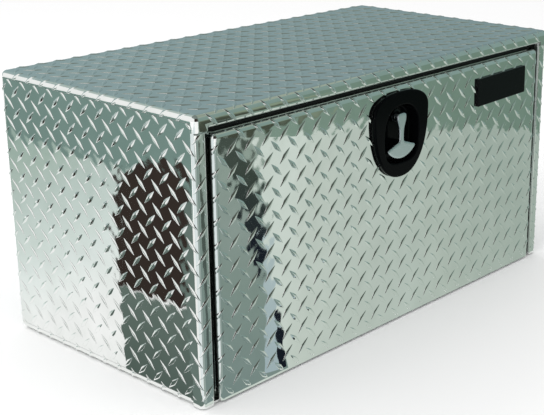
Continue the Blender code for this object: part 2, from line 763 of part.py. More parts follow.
def handle_half():
    """Right half of the handle's outline, from its top centre to its bottom centre."""
    stem = spline(
        [(HANDLE_TOP_HALF, HANDLE_TOP * HANDLE_CORNER_SHARE), (HANDLE_TOP_HALF, -HANDLE_TOP),
         (HANDLE_WAIST_HALF * HANDLE_WAIST_SHARES[0], HANDLE_WAIST_UPPER),
         (HANDLE_WAIST_HALF, HANDLE_WAIST_LOWER),
         (HANDLE_WAIST_HALF * HANDLE_WAIST_SHARES[1], HANDLE_SHOULDER)],
        BEND_STEPS - 1,
    )
    end = arc((HANDLE_BAR_HALF - HANDLE_END_RADIUS, HANDLE_BAR_END), HANDLE_END_RADIUS,
              *HANDLE_END_ANGLES, BEND_STEPS)
    rise = end[-1][1] - HANDLE_BOTTOM
    arc_radius = (end[-1][0] ** 2 + rise ** 2) / (2 * rise)
    sweep = math.asin(end[-1][0] / arc_radius)
    bottom = arc((0, HANDLE_BOTTOM + arc_radius), arc_radius, -math.pi / 2 + sweep, -math.pi / 2, 2 * BEND_STEPS)[1:]
    crown_x, crown_z = HANDLE_CROWN_SHARES
    top = [(0, HANDLE_TOP), (HANDLE_TOP_HALF * crown_x, HANDLE_TOP * crown_z)]
    return top + stem + end + bottom


right_half = handle_half()
handle_outline = right_half + [(-x, z) for x, z in right_half[1:-1]][::-1]


def inset_outline(outline, amount):
    """Moves each point of a closed, clockwise outline inwards by the amount."""
    moved = []
    for i, here in enumerate(outline):
        before = Vector(outline[i - 1])
        after = Vector(outline[(i + 1) % len(outline)])
        tangent = (after - before).normalized()
        moved.append((here[0] + tangent.y * amount, here[1] - tangent.x * amount))
    return moved


handle_rows = []
for inset, depth in (
    (HANDLE_EDGE, HANDLE_FACE + HANDLE_THICKNESS), (0, HANDLE_FACE + HANDLE_THICKNESS - HANDLE_EDGE),
    (0, HANDLE_FACE + HANDLE_EDGE), (HANDLE_EDGE, HANDLE_FACE),
):
    outline = inset_outline(handle_outline, inset) if inset else handle_outline
    handle_rows.append([(x, FRONT + depth, HUB_Z + z) for x, z in outline])
t_handle = skin("t_handle", handle_rows, handle_metal)
cheek = circle((PIVOT_DEPTH, HUB_Z), CHEEK_RADIUS)
join(t_handle, prism("cheeks", cheek, -CHEEK_OUTER, CHEEK_OUTER, "X"))
cut(t_handle, box(
    "tongue_slot",
    (-CHEEK_INNER, CHEEK_INNER),
    (WEB_BACK, OVERRUN),
    (HUB_Z - CHEEK_RADIUS - SEAM, HUB_Z + OVERRUN),
))
cut(t_handle, prism("handle_bore", pin_bore, -CHEEK_OUTER - OVERRUN, CHEEK_OUTER + OVERRUN, "X"))
attach(t_handle, fold_axis)
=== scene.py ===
import math

import bmesh
import bpy
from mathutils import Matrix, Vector


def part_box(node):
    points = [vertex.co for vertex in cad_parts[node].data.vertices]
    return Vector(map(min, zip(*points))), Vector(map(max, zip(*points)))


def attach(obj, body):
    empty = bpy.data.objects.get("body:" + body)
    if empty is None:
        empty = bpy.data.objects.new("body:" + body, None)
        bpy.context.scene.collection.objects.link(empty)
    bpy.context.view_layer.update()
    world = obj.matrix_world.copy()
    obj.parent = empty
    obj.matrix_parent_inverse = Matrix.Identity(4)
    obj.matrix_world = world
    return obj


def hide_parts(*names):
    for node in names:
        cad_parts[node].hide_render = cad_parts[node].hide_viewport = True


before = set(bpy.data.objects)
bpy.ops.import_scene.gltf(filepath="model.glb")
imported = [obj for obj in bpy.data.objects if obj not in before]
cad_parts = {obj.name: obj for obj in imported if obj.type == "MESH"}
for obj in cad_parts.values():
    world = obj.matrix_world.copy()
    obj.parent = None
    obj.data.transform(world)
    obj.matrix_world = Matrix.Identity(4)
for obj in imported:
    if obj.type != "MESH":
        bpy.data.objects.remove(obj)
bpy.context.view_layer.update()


# Top sheet: one piece of 3.2 mm aluminium tread plate, its four edges pressed over a 9 mm radius. The
# front edge goes on as the header over the door, and the other three are short skirts that lap down
# over the side and back sheets. The raised lugs are rolled in, so they run over the bends.

top_low, top_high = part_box("top_panel")
WIDTH, HEIGHT = top_high.x - top_low.x, top_high.z
FRONT, BACK = top_low.y, top_high.y
MIDDLE, DEPTH = (FRONT + BACK) / 2, BACK - FRONT
BEND = 0.009                # outer radius of the pressed edges
SKIRT, HEADER = 0.0115, 0.0195      # how far the lugs run down the skirts and the header
EASED_EDGE = 0.0004         # radius that deburring leaves on a cut edge

PITCH = 0.0365              # from one lug to the next of the same slant
LUG_LENGTH, LUG_WIDTH, LUG_HEIGHT = 0.0325, 0.0086, 0.0015
LUG_TIP = 0.0004            # half the width that a lug still has at its tips
LUG_SINK = 0.0003           # how far a lug's foot goes into the sheet
LUG_REACH = 0.012           # from a lug's middle to its tips, along either edge of the sheet
HEADER_LUG_X, HEADER_LUG_DROP = -0.422, 0.010       # one lug on the header, and its way down from the top


def linear(hex_colour):
    """An sRGB hex colour as the linear RGBA that Blender's nodes take."""
    channels = [int(hex_colour[i:i + 2], 16) / 255 for i in (1, 3, 5)]
    return tuple(c / 12.92 if c <= 0.04045 else ((c + 0.055) / 1.055) ** 2.4 for c in channels) + (1.0,)


def add(tree, kind, settings=None, inputs=None, links=None):
    """Adds one node: settings are its own properties, inputs its sockets' values, links what feeds them."""
    node = tree.nodes.new("ShaderNode" + kind)
    for key, value in (settings or {}).items():
        setattr(node, key, value)
    for key, value in (inputs or {}).items():
        node.inputs[key].default_value = value
    for key, socket in (links or {}).items():
        tree.links.new(socket, node.inputs[key])
    return node


def new_material(name):
    """An empty node material: the material, its node tree and its Principled shader."""
    material = bpy.data.materials.new(name)
    material.use_nodes = True
    tree = material.node_tree
    tree.nodes.clear()
    shader = add(tree, "BsdfPrincipled")
    add(tree, "OutputMaterial", links={"Surface": shader.outputs["BSDF"]})
    return material, tree, shader


def rolled_tread(name, axes, lug):
    """Bright-rolled 3003 aluminium tread plate. It mirrors the room almost sharply, but the lugs pull the
    flats between them into shallow waves, so every mirrored edge comes out in zigzags, and the rolls leave
    a fine grain along the sheet. axes are the two that the sheet lies in, lug the place of one lug."""
    wave_height, dip_height, grain_height = 0.000045, 0.00011, 0.00002
    dip_size, oxide_size = 0.02, 0.06
    grain_length, grain_width = 0.012, 0.0008
    material, tree, shader = new_material(name)
    where = add(tree, "TexCoord").outputs["Object"]
    place = add(tree, "SeparateXYZ", links={0: where})
    # The flats rise to each lug: one wave per lug pitch each way.
    per_metre = 2 * math.pi / PITCH
    waves = []
    for axis, start in zip(axes, lug):
        turn = add(tree, "Math", {"operation": "MULTIPLY_ADD"}, {1: per_metre, 2: -per_metre * start},
                   {0: place.outputs[axis]})
        waves.append(add(tree, "Math", {"operation": "COSINE"}, links={0: turn.outputs[0]}).outputs[0])
    rise = add(tree, "Math", {"operation": "MULTIPLY"}, links={0: waves[0], 1: waves[1]})
    # Rolling and handling leave it uneven too, in dips about 20 mm across.
    dips = add(tree, "TexNoise", inputs={"Scale": 1 / dip_size, "Detail": 1.0, "Roughness": 0.4},
               links={"Vector": where})
    # Mill grain: streaks 0.4 mm wide and 12 mm long, drawn twice as wide so that they show.
    stretch = add(tree, "Mapping", inputs={"Scale": (1 / grain_length, 1 / grain_width, 1 / grain_width)},
                  links={"Vector": where})
    grain = add(tree, "TexNoise", inputs={"Scale": 1.0, "Detail": 3.0, "Roughness": 0.6},
                links={"Vector": stretch.outputs["Vector"]})
    # Faint cloudy oxide, in patches 60 mm across.
    cloud = add(tree, "TexNoise", inputs={"Scale": 1 / oxide_size, "Detail": 4.0, "Roughness": 0.6},
                links={"Vector": where})
    tone = add(tree, "ValToRGB", links={"Fac": cloud.outputs["Fac"]})
    for element, position, shade in zip(tone.color_ramp.elements, (0.3, 0.7), ("#E6E9E6", "#F0F2F0")):
        element.position = position
        element.color = linear(shade)
    gloss = add(tree, "MapRange",
                inputs={"From Min": 0.25, "From Max": 0.75, "To Min": 0.015, "To Max": 0.045},
                links={"Value": grain.outputs["Fac"]})
    lift = add(tree, "Bump", inputs={"Strength": 1.0, "Distance": wave_height},
               links={"Height": rise.outputs[0]})
    low = add(tree, "Bump", inputs={"Strength": 1.0, "Distance": dip_height},
              links={"Height": dips.outputs["Fac"], "Normal": lift.outputs["Normal"]})
    fine = add(tree, "Bump", inputs={"Strength": 0.2, "Distance": grain_height},
               links={"Height": grain.outputs["Fac"], "Normal": low.outputs["Normal"]})
    shader.inputs["Metallic"].default_value = 1.0
    tree.links.new(tone.outputs["Color"], shader.inputs["Base Color"])
    tree.links.new(gloss.outputs["Result"], shader.inputs["Roughness"])
    tree.links.new(fine.outputs["Normal"], shader.inputs["Normal"])
    return material


def mill_finish(name, colour, streak, roughness):
    """Aluminium as it leaves the rolls, neither polished nor etched: a dull grey mirror that smears what it
    shows along the roll marks. streak is a mark's size in x, y and z, roughness its least and most."""
    material, tree, shader = new_material(name)
    where = add(tree, "TexCoord").outputs["Object"]
    stretch = add(tree, "Mapping", inputs={"Scale": tuple(1 / size for size in streak)},
                  links={"Vector": where})
    grain = add(tree, "TexNoise", inputs={"Scale": 1.0, "Detail": 3.0, "Roughness": 0.6},
                links={"Vector": stretch.outputs["Vector"]})
    gloss = add(tree, "MapRange",
                inputs={"From Min": 0.25, "From Max": 0.75, "To Min": roughness[0], "To Max": roughness[1]},
                links={"Value": grain.outputs["Fac"]})
    marks = add(tree, "Bump", inputs={"Strength": 0.4, "Distance": 0.00003},
                links={"Height": grain.outputs["Fac"]})
    shader.inputs["Base Color"].default_value = linear(colour)
    shader.inputs["Metallic"].default_value = 1.0
    tree.links.new(gloss.outputs["Result"], shader.inputs["Roughness"])
    tree.links.new(marks.outputs["Normal"], shader.inputs["Normal"])
    return material


# The inner side of the tread plate has no lugs and isn't brightened. Marks 1.2 mm wide, drawn coarser
# than the real ones so that they show through the open door.
inner_side = mill_finish("mill_finish_inner_side", "#D0D2D1", streak=(0.03, 0.0012, 0.03),
                         roughness=(0.26, 0.42))
SHARP = math.radians(40)    # a cut edge turns by more than this, and a bend's facets by less
SAME_POINT = 1e-6           # corners of facets that lie this near are one point
FACING = 0.0005             # a face looks inward if the sheet's middle is this far in front of it


def new_piece(name, data):
    """A new object with this mesh, lamp or camera, in the scene."""
    piece = bpy.data.objects.new(name, data)
    bpy.context.scene.collection.objects.link(piece)
    return piece


def shade_smooth(mesh):
    mesh.polygons.foreach_set("use_smooth", [True] * len(mesh.polygons))


def after_modifiers(piece):
    """The piece's mesh with its modifiers in it. The piece itself goes."""
    shaped = bpy.data.meshes.new_from_object(piece.evaluated_get(bpy.context.evaluated_depsgraph_get()))
    bpy.data.objects.remove(piece)
    return shaped


def formed_sheet(node, eased=EASED_EDGE):
    """The CAD solid's form as clean mesh data: welded, its cut edges eased, its bends smoothly shaded."""
    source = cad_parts[node].data
    mesh = bpy.data.meshes.new(node)
    mesh.from_pydata([v.co for v in source.vertices], [], [p.vertices for p in source.polygons])
    bm = bmesh.new()
    bm.from_mesh(mesh)
    bmesh.ops.remove_doubles(bm, verts=bm.verts, dist=SAME_POINT)
    bmesh.ops.recalc_face_normals(bm, faces=bm.faces)
    bm.to_mesh(mesh)
    bm.free()
    piece = new_piece(node + "_form", mesh)
    shade_smooth(mesh)
    if eased:
        bevel = piece.modifiers.new("eased_edges", "BEVEL")
        bevel.width, bevel.segments = eased, 2
        bevel.limit_method, bevel.angle_limit = "ANGLE", SHARP
    piece.modifiers.new("flat_faces", "WEIGHTED_NORMAL").keep_sharp = False
    return after_modifiers(piece)


def raise_lug(bm, middle, slant):
    """One lug: a rounded ridge that tapers to both tips, at 45 degrees to the sheet's edges."""
    along = [-1.0, -0.93, -0.78, -0.45, 0.0, 0.45, 0.78, 0.93, 1.0]     # from tip to tip
    across = [-1.0, -0.6, -0.25, 0.0, 0.25, 0.6, 1.0]                   # from foot to foot, over the ridge
    tip_power, height_power, ridge_power = 1.35, 0.5, 1.5       # how full it stays to the tips and the feet
    rows = []
    for t in along:
        taper = 1 - abs(t) ** tip_power
        row = []
        for q in across:
            a, b = t * LUG_LENGTH / 2, q * (LUG_WIDTH / 2 * taper + LUG_TIP)
            z = (LUG_HEIGHT * taper ** height_power + LUG_SINK) * (1 - abs(q) ** ridge_power) - LUG_SINK
            row.append(bm.verts.new((middle[0] + (a - slant * b) * math.sqrt(0.5),
                                     middle[1] + (slant * a + b) * math.sqrt(0.5), z)))
        rows.append(row)
    for near, far in zip(rows, rows[1:]):
        for k in range(len(across) - 1):
            bm.faces.new((near[k], far[k], far[k + 1], near[k + 1]))
    bm.faces.new(rows[0])
    bm.faces.new(rows[-1][::-1])
    bm.faces.new([row[-1] for row in rows] + [row[0] for row in rows[::-1]])


def lug_rows(low, high, first, other, skip=None):
    """Lugs of both slants in the flat sheet, before it is bent, cut off at the sheet's edges. x and y lie
    in the sheet and z is height. low and high are its corners, first and other one lug of each slant."""
    bm = bmesh.new()
    for start, slant in ((first, 1.0), (other, -1.0)):
        columns, rows = (range(math.floor((low[axis] - start[axis]) / PITCH) - 1,
                               math.ceil((high[axis] - start[axis]) / PITCH) + 2) for axis in (0, 1))
        for i in columns:
            for j in rows:
                middle = (start[0] + i * PITCH, start[1] + j * PITCH)
                inside = all(low[axis] - LUG_REACH < middle[axis] < high[axis] + LUG_REACH
                             for axis in (0, 1))
                if inside and not (skip and skip(*middle)):
                    raise_lug(bm, middle, slant)
    bmesh.ops.recalc_face_normals(bm, faces=bm.faces)
    for corner, direction in ((low, -1), (high, 1)):
        for axis in (0, 1):
            outward = Vector((0, 0, 0))
            outward[axis] = direction
            bmesh.ops.bisect_plane(bm, geom=bm.verts[:] + bm.edges[:] + bm.faces[:], dist=1e-7,
                                   plane_co=(corner[0], corner[1], 0), plane_no=outward, clear_outer=True)
            bmesh.ops.holes_fill(bm, edges=[e for e in bm.edges if e.is_boundary], sides=0)
    return bm


def unfolded(half, depth):
    """Where the cut edge of a bent-down skirt lies in the flat sheet; depth is how far down it reaches."""
    return half - BEND + BEND * math.pi / 2 + max(depth - BEND, 0)


def fold(s, half, radius, height):
    """Where a point lies that is s from the middle of a sheet bent down at its edge: (out, down)."""
    flat = half - radius
    sign = 1 if s >= 0 else -1
    arc = abs(s) - flat
    if arc <= 0:
        return s, -height
    angle = arc / radius
    if angle < math.pi / 2:
        swing = radius + height
        return sign * (flat + swing * math.sin(angle)), radius - swing * math.cos(angle)
    return sign * (half + height), radius + arc - radius * math.pi / 2


UNBENT = 10.0               # half the size of a sheet, on an axis along which it has no bend


def bend_lugs(bm, half_u, half_v, place, radius=BEND):
    """Lays the flat lugs over a sheet that is bent down at |u| = half_u and |v| = half_v. Lugs at a corner,
    where two bends meet, are left out: there the sheet is notched and welded."""
    stack = [v for v in bm.verts if abs(v.co.x) > half_u - radius and abs(v.co.y) > half_v - radius]
    notched = set()
    while stack:
        vert = stack.pop()
        if vert not in notched:
            notched.add(vert)
            stack.extend(e.other_vert(vert) for e in vert.link_edges)
    bmesh.ops.delete(bm, geom=list(notched), context="VERTS")
    for vert in bm.verts:
        u, v, height = vert.co
        if abs(u) > half_u - radius:
            out, down = fold(u, half_u, radius, height)
            vert.co = place(out, v, down)
        else:
            out, down = fold(v, half_v, radius, height)
            vert.co = place(u, out, down)
    bmesh.ops.recalc_face_normals(bm, faces=bm.faces)


def tread_piece(name, node, body, lugs, finish, inward):
    """A tread sheet and its lugs, which stand for the CAD sheet. It is rolled with lugs on one side only:
    the faces that look inward, into the box, have the dull mill finish."""
    mesh = formed_sheet(node)
    low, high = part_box(node)
    middle = (low + high) / 2
    inner = [p.normal.dot(Vector(inward)) > 0.5 or p.normal.dot(p.center - middle) < -FACING
             for p in mesh.polygons]
    lug_mesh = bpy.data.meshes.new(name + "_lugs")
    lugs.to_mesh(lug_mesh)
    lugs.free()
    shade_smooth(lug_mesh)
    piece = new_piece(name, mesh)
    raised = new_piece(name + "_raised", lug_mesh)
    for part in (piece, raised):
        part.data.materials.clear()
        part.data.materials.append(finish)
    mesh.materials.append(inner_side)
    mesh.polygons.foreach_set("material_index", [int(face) for face in inner])
    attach(piece, body)
    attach(raised, body)
    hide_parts(node)


header_row = unfolded(DEPTH / 2, HEADER_LUG_DROP)
lugs = lug_rows((-unfolded(WIDTH / 2, SKIRT), -unfolded(DEPTH / 2, HEADER)),
                (unfolded(WIDTH / 2, SKIRT), unfolded(DEPTH / 2, SKIRT)),
                (HEADER_LUG_X + PITCH / 2, -header_row + PITCH / 2), (HEADER_LUG_X, -header_row))
bend_lugs(lugs, WIDTH / 2, DEPTH / 2, lambda u, v, down: (u, MIDDLE + v, HEIGHT - down))
tread_piece("top_sheet", "top_panel", "box", lugs,
            rolled_tread("tread_plate_top", (0, 1), (HEADER_LUG_X, MIDDLE - header_row)), (0, 0, -1))


# Side sheets: tread plate, each bent round the front corner into the stile beside the door and round the
# back corner into a short return. The lugs run round both bends, and end above the floor tray's skirt.

side_low, side_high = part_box("left_side")
SIDE_FRONT, SIDE_TOP = side_low.y, side_high.z
SIDE_MIDDLE, SIDE_DEPTH = (SIDE_FRONT + BACK) / 2, BACK - SIDE_FRONT
STILE, RETURN = 0.0215, 0.0205      # how far the lugs run round onto the stile and the return
LUG_FOOT = 0.0125                   # where the lugs start, just above the floor tray's skirt
SIDE_LUG_FROM_BACK, SIDE_LUG_FROM_TOP = 0.022, 0.013

side_lug_y, side_lug_z = BACK - SIDE_LUG_FROM_BACK, HEIGHT - SIDE_LUG_FROM_TOP
for name, node, side in (("left_sheet", "left_side", -1), ("right_sheet", "right_side", 1)):
    lugs = lug_rows((-unfolded(SIDE_DEPTH / 2, STILE), LUG_FOOT),
                    (unfolded(SIDE_DEPTH / 2, RETURN), SIDE_TOP),
                    (side_lug_y - SIDE_MIDDLE, side_lug_z),
                    (side_lug_y - SIDE_MIDDLE - PITCH / 2, side_lug_z - PITCH / 2))
    bend_lugs(lugs, SIDE_DEPTH / 2, UNBENT,
              lambda u, v, down: (side * (WIDTH / 2 - down), SIDE_MIDDLE + u, v))
    tread_piece(name, node, "box", lugs,
                rolled_tread("tread_plate_" + name, (1, 2), (side_lug_y, side_lug_z)), (-side, 0, 0))


# Back sheet and floor tray: the same plate. The back sheet is flat between the side sheets' returns. The
# floor is a tray whose skirts stand 12 mm up outside the sides.

BACK_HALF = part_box("back_panel")[1].x
BACK_LUG_INSET = 0.02               # one lug from the sheet's left and top edges
back_lug_x, back_lug_z = -BACK_HALF + BACK_LUG_INSET, SIDE_TOP - BACK_LUG_INSET
lugs = lug_rows((-BACK_HALF, LUG_FOOT), (BACK_HALF, SIDE_TOP), (back_lug_x, back_lug_z),
                (back_lug_x + PITCH / 2, back_lug_z + PITCH / 2))
bend_lugs(lugs, UNBENT, UNBENT, lambda u, v, down: (u, BACK - down, v))
tread_piece("back_sheet", "back_panel", "box", lugs,
            rolled_tread("tread_plate_back", (0, 2), (back_lug_x, back_lug_z)), (0, -1, 0))

FLOOR_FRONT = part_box("floor_panel")[0].y
FLOOR_MIDDLE, FLOOR_DEPTH = (FLOOR_FRONT + BACK) / 2, BACK - FLOOR_FRONT
FLOOR_LUG_FROM_LEFT = 0.035
FRONT_STRIP = 0.018                 # the tray's flat front strip, without lugs
floor_lug_x = -WIDTH / 2 + FLOOR_LUG_FROM_LEFT
lugs = lug_rows((-unfolded(WIDTH / 2, SKIRT), -FLOOR_DEPTH / 2 + FRONT_STRIP),
                (unfolded(WIDTH / 2, SKIRT), unfolded(FLOOR_DEPTH / 2, SKIRT)),
                (floor_lug_x, 0.0), (floor_lug_x + PITCH / 2, PITCH / 2))
bend_lugs(lugs, WIDTH / 2, FLOOR_DEPTH / 2, lambda u, v, down: (u, FLOOR_MIDDLE + v, down))
tread_piece("floor_tray", "floor_panel", "box", lugs,
            rolled_tread("tread_plate_floor", (0, 1), (floor_lug_x, FLOOR_MIDDLE)), (0, 0, 1))


# Door: a shallow pan of the same plate, bent back at all four edges over an 8 mm radius, with a hole cut
# for the latch dish. It turns on the hinge under its bottom edge.

door_low, door_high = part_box("door_pan")
DOOR_HALF = door_high.x
DOOR_MIDDLE, DOOR_HEIGHT = (door_low.z + door_high.z) / 2, door_high.z - door_low.z
DOOR_BEND = 0.008
LUG_RUN = 0.010                     # how far the lugs run round the bends
FOOT_STRIP = 0.004                  # flat strip at the door's foot, without lugs
DOOR_LUG, DOOR_OTHER_LUG = (0.0708, 0.0587), (0.089, 0.077)     # from the box's left edge, and from its top
DISH_RIM = 0.004                    # how far the dish's rim covers lugs that aren't flattened

dish_low, dish_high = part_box("latch_dish")
dish_middle, dish_half = (dish_low + dish_high) / 2, (dish_high - dish_low) / 2


def under_dish(u, v):
    """Whether this place on the door lies under the latch dish, where the lugs are flattened."""
    return math.hypot((u - dish_middle.x) / (dish_half.x - DISH_RIM),
                      (v + DOOR_MIDDLE - dish_middle.z) / (dish_half.z - DISH_RIM)) < 1


def on_door(place):
    """A lug's place on the door, given from the box's left edge and top."""
    return place[0] - WIDTH / 2, HEIGHT - place[1]


lug_x, lug_z = on_door(DOOR_LUG)
other_x, other_z = on_door(DOOR_OTHER_LUG)
side_reach = DOOR_HALF - DOOR_BEND + LUG_RUN
top_reach = DOOR_HEIGHT / 2 - DOOR_BEND + LUG_RUN
lugs = lug_rows((-side_reach, -DOOR_HEIGHT / 2 + FOOT_STRIP), (side_reach, top_reach),
                (lug_x, lug_z - DOOR_MIDDLE), (other_x, other_z - DOOR_MIDDLE), under_dish)
bend_lugs(lugs, DOOR_HALF, DOOR_HEIGHT / 2, lambda u, v, down: (u, FRONT + down, DOOR_MIDDLE + v), DOOR_BEND)
tread_piece("door_skin", "door_pan", "door", lugs,
            rolled_tread("tread_plate_door", (0, 2), (other_x, other_z)), (0, 1, 0))


# Sill and inner door liner: plain aluminium sheet without lugs, folded on a press brake and left with its
# mill finish. The roll marks are drawn 0.6 mm wide, coarser than the real ones so that they show.

mill_sheet = mill_finish("mill_finish_aluminium", "#C4C6C5", streak=(0.02, 0.0006, 0.0006),
                         roughness=(0.22, 0.4))


def finished_copy(name, node, body, material, eased=EASED_EDGE):
    """A piece whose CAD form is the real one, with eased edges and smooth rounds, in its finish."""
    piece = new_piece(name, formed_sheet(node, eased))
    piece.data.materials.clear()
    piece.data.materials.append(material)
    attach(piece, body)
    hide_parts(node)


finished_copy("sill", "sill_flange", "box", mill_sheet)
finished_copy("liner", "door_liner", "door", mill_sheet)


# Weld beads at the two front corners, where the header meets the stiles: TIG-welded aluminium, a row of
# overlapping ripples, left as welded.

def grained_finish(name, colour, roughness, grain, detail, strength, height, metallic=0.0, specular=None):
    """A surface of one colour with a fine uneven grain. grain is the size of one bump and height how far it
    rises, both in metres; strength softens it. specular stays the shader's own where none is given."""
    material, tree, shader = new_material(name)
    where = add(tree, "TexCoord").outputs["Object"]
    bumps = add(tree, "TexNoise", inputs={"Scale": 1 / grain, "Detail": detail}, links={"Vector": where})
    relief = add(tree, "Bump", inputs={"Strength": strength, "Distance": height},
                 links={"Height": bumps.outputs["Fac"]})
    shader.inputs["Base Color"].default_value = linear(colour)
    shader.inputs["Metallic"].default_value = metallic
    shader.inputs["Roughness"].default_value = roughness
    if specular is not None:
        shader.inputs["Specular IOR Level"].default_value = specular
    tree.links.new(relief.outputs["Normal"], shader.inputs["Normal"])
    return material


# Bright metal with a grain of 2 mm that breaks up every highlight.
weld_bead = grained_finish("tig_weld_bead", "#D8DAD8", roughness=0.3, grain=0.002, detail=3.0, strength=0.5,
                           height=0.0001, metallic=1.0)
for node in ("left_weld", "right_weld"):
    finished_copy(node + "_finished", node, "box", weld_bead, 0)


# Door seal: a black EPDM bulb strip on the jamb, deep in the gap round the door. The gasket under the dish's
# rim is cut from sheet of the same rubber.

# Extruded rubber with pores of 1.2 mm, drawn coarser than the real ones: matt black with a soft sheen.
seal_rubber = grained_finish("epdm_seal_rubber", "#151616", roughness=0.6, grain=0.0012, detail=2.0,
                             strength=0.3, height=0.00008)
finished_copy("seal", "door_seal", "box", seal_rubber)
finished_copy("gasket", "dish_gasket", "door", seal_rubber, 0)

# The seal's foot goes on along the lip of each stile as a thin black rubber edging; it is also painted shade,
# a dark strip that keeps the narrow gap as black as its shade.
LIP_X, LIP_FRONT, LIP_BACK = 0.432, FRONT + 0.0130, FRONT + 0.0215
LIP_LOW, LIP_HIGH = 0.012, 0.434
EDGING, ROUND_START = 0.0010, 0.0006        # its thickness, and where its front edge starts to round off
NOSE_IN, NOSE_BACK = 0.0007, 0.0001         # the point midway in that round
EDGING_PROFILE = [(LIP_X, LIP_FRONT), (LIP_X, LIP_BACK), (LIP_X - EDGING, LIP_BACK),
                  (LIP_X - EDGING, LIP_FRONT + ROUND_START), (LIP_X - NOSE_IN, LIP_FRONT + NOSE_BACK)]

# Painted shade: a black strip deep in each side of the gap, where the gap lies in shade.
for side, name in ((-1, "left_gap_shade_edging"), (1, "right_gap_shade_edging")):
    bm = bmesh.new()
    foot, head = ([bm.verts.new((side * x, y, z)) for x, y in EDGING_PROFILE] for z in (LIP_LOW, LIP_HIGH))
    for k in range(len(EDGING_PROFILE)):
        after = (k + 1) % len(EDGING_PROFILE)
        bm.faces.new((foot[k], foot[after], head[after], head[k]))
    bm.faces.new(foot)
    bm.faces.new(head)
    bmesh.ops.recalc_face_normals(bm, faces=bm.faces)
    mesh = bpy.data.meshes.new(name)
    bm.to_mesh(mesh)
    bm.free()
    mesh.materials.append(seal_rubber)
    gap_shade_edging = new_piece(name, mesh)
    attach(gap_shade_edging, "box")


# Hinge, bush, pivot pin, cam, nut and shaft: steel, turned or pressed, then zinc plated. The shaft's round
# boss shows deep in the dish's recess, and it is coloured dark grey.

def zinc_plated(name, colour, cloud_size, detail, roughness):
    """Electroplated zinc: a soft metal sheen, with patches where the bath left it brighter or duller.
    cloud_size is a patch's size, roughness its least and most."""
    material, tree, shader = new_material(name)
    where = add(tree, "TexCoord").outputs["Object"]
    cloud = add(tree, "TexNoise", inputs={"Scale": 1 / cloud_size, "Detail": detail},
                links={"Vector": where})
    gloss = add(tree, "MapRange",
                inputs={"From Min": 0.3, "From Max": 0.7, "To Min": roughness[0], "To Max": roughness[1]},
                links={"Value": cloud.outputs["Fac"]})
    shader.inputs["Base Color"].default_value = linear(colour)
    shader.inputs["Metallic"].default_value = 1.0
    tree.links.new(gloss.outputs["Result"], shader.inputs["Roughness"])
    return material


bright_zinc = zinc_plated("bright_zinc_plate", "#B9BEC3", cloud_size=0.012, detail=4.0,
                          roughness=(0.2, 0.36))
finished_copy("hinge_leaf", "hinge_body_leaf", "box", bright_zinc)
for node in ("hinge_door_leaf", "hinge_pin", "latch_bush"):
    finished_copy(node + "_finished", node, "door", bright_zinc)
LATCH_EASED = 0.0003
for node in ("pivot_pin", "latch_cam", "latch_nut"):
    finished_copy(node + "_finished", node, "latch", bright_zinc, LATCH_EASED)

# Dark grey zinc for the shaft, whose boss sits deep in the dish's recess.
dark_grey_zinc = zinc_plated("dark_grey_zinc_plate", "#24272A", cloud_size=0.006, detail=3.0,
                         roughness=(0.22, 0.34))
finished_copy("shaft", "latch_shaft", "latch", dark_grey_zinc, LATCH_EASED)


# Latch dish: one egg-shaped pressing with a rolled rim and a deep recess for the T-handle, stove-enamelled
# gloss black. It sits in the hole in the door, with its gasket under the rim.

# Stove enamel, gloss black: deep black with small sharp highlights and a faint orange peel 4 mm across.
gloss_enamel = grained_finish("gloss_black_enamel", "#040506", roughness=0.14, grain=0.004, detail=2.0,
                              strength=0.15, height=0.00006, specular=0.04)
finished_copy("dish", "latch_dish", "door", gloss_enamel, 0)


# T-handle: one zinc die casting, satin chrome plated, that folds into the dish. A pin at the top of its
# stem holds it to the shaft's boss.

# Satin chrome plate: pale blue-grey metal that blurs the room, with a blasted grain of 1.5 mm that is
# drawn coarser than the real one so that it shows.
satin_chrome = grained_finish("satin_plated_die_casting", "#D3DBE0", roughness=0.32, grain=0.0015, detail=3.0,
                              strength=0.3, height=0.00004, metallic=1.0)

# A casting has no sharp corners: the form is remeshed finely and relaxed, which rounds it by about 1.5 mm.
CAST_FACET, CAST_ROUNDS = 0.0007, 26
rough = new_piece("handle_form", formed_sheet("t_handle", 0))
skin = rough.modifiers.new("skin", "REMESH")
skin.mode, skin.voxel_size, skin.use_smooth_shade = "VOXEL", CAST_FACET, True
relax = rough.modifiers.new("relax", "SMOOTH")
relax.factor, relax.iterations = 0.5, CAST_ROUNDS
casting = after_modifiers(rough)
casting.materials.clear()
casting.materials.append(satin_chrome)
handle = new_piece("handle_bar", casting)
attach(handle, "handle")
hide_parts("t_handle")


# Bare plate: a thick plate with round corners and nothing on it, moulded in one piece. It is stuck on the
# door, to the right of the latch.

# Moulded plastic, gloss black: a little duller than the enamel, with faint flow marks 3 mm across.
plate_face = grained_finish("gloss_moulded_plate", "#07080A", roughness=0.2, grain=0.003, detail=2.0,
                            strength=0.2, height=0.00004, specular=0.1)
PLATE_EASED = 0.0006
finished_copy("plate", "bare_plate", "door", plate_face, PLATE_EASED)


# Studio: pale floor, white surroundings, and soft lamps above the left and behind. Bright metal shows what
# lies and stands round it, so there are glowing coloured cards too, which only mirrors see: painted
# reflections, which light nothing and cast no shadow.

